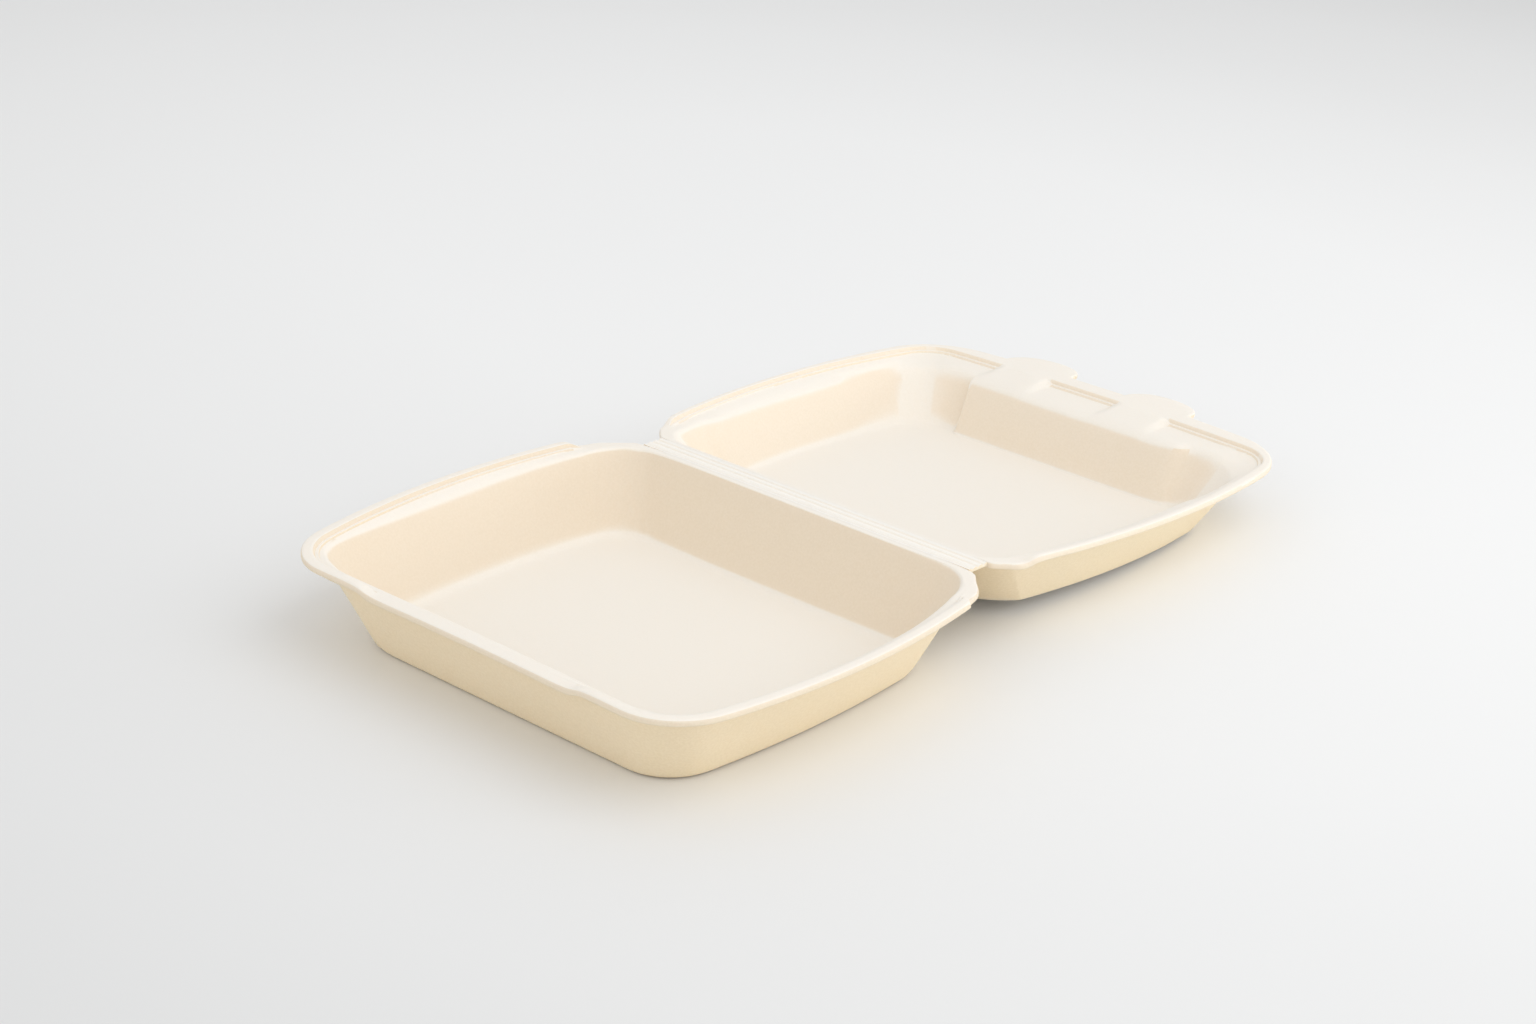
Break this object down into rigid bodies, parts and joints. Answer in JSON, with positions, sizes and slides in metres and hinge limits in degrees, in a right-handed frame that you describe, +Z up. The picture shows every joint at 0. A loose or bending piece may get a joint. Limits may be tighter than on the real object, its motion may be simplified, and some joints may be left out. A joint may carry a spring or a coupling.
{
  "type": "hinged foam menu box",
  "caption": "Open foam takeaway menu box: a deep bowed tray and a shallow lid joined by a pressed live hinge, with a raised lip, stiffening panels and lifting tabs.",
  "frame": {"origin": "middle of the flat underside of the base tray, on the table", "axes": "+Z up; +Y from the tray across the hinge towards the lid's far edge; +X along the hinge line, to the right when the tray's front faces the viewer"},
  "size_m": [0.24, 0.4038, 0.0385],
  "materials": {
    "tray_foam": "matte cream foam with a fine grain",
    "hinge_foam": "matte cream foam, pressed denser in the grooves",
    "lid_foam": "matte cream foam with a fine grain"
  },
  "bodies": {
    "base": {"base_tray": "tray_foam", "live_hinge": "hinge_foam"},
    "lid": {"lid": "lid_foam"}
  },
  "joints": [
    {"name": "lid_hinge", "type": "hinge", "parent": "base", "child": "lid", "pos_m": [0, 0.09435, 0.03865], "axis": [1, 0, 0], "range_deg": [0, 182.79], "deforming": ["live_hinge"]}
  ]
}
